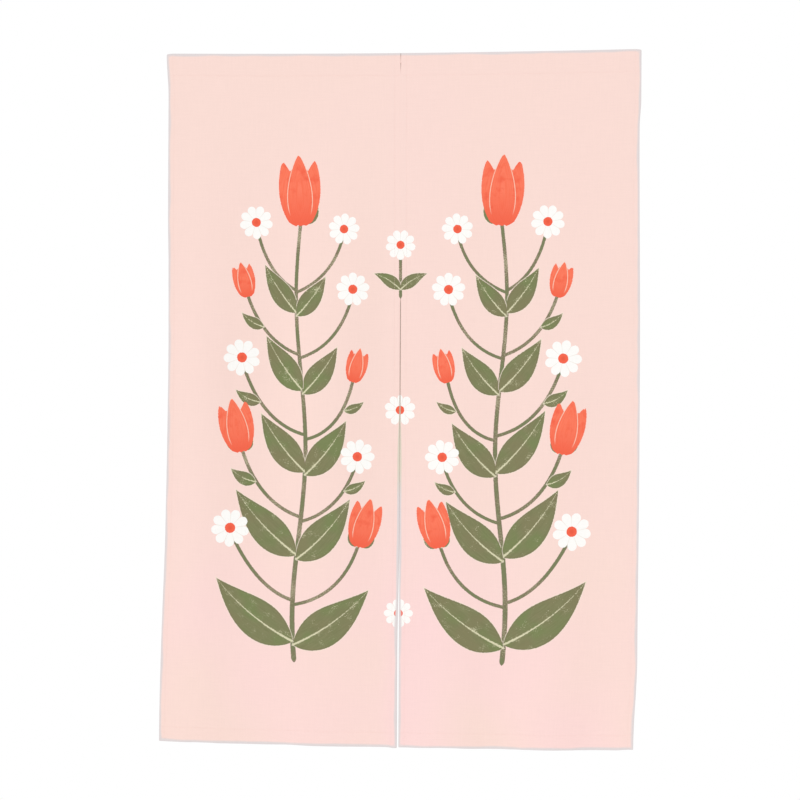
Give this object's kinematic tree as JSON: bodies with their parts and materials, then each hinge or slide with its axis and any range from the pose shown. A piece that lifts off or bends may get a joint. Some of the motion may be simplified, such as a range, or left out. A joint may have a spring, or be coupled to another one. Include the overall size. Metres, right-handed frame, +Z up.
{
  "type": "door curtain",
  "caption": "Flat-hung door curtain of cloth panels joined over the upper middle, with an open slit below to walk through.",
  "frame": {"origin": "middle of the top edge, in the flat plane of the cloth", "axes": "+Z up along the drop, +X to the right of a person who looks at the printed face, -Y out of the printed face"},
  "size_m": [0.8593, 0.0206, 1.2477],
  "materials": {
    "cloth_left": "matt plain-woven pale pink cloth with a printed plant pattern",
    "cloth_right": "matt plain-woven pale pink cloth with a printed plant pattern"
  },
  "bodies": {
    "root": {"panel_left": "cloth_left", "panel_right": "cloth_right"}
  },
  "joints": []
}
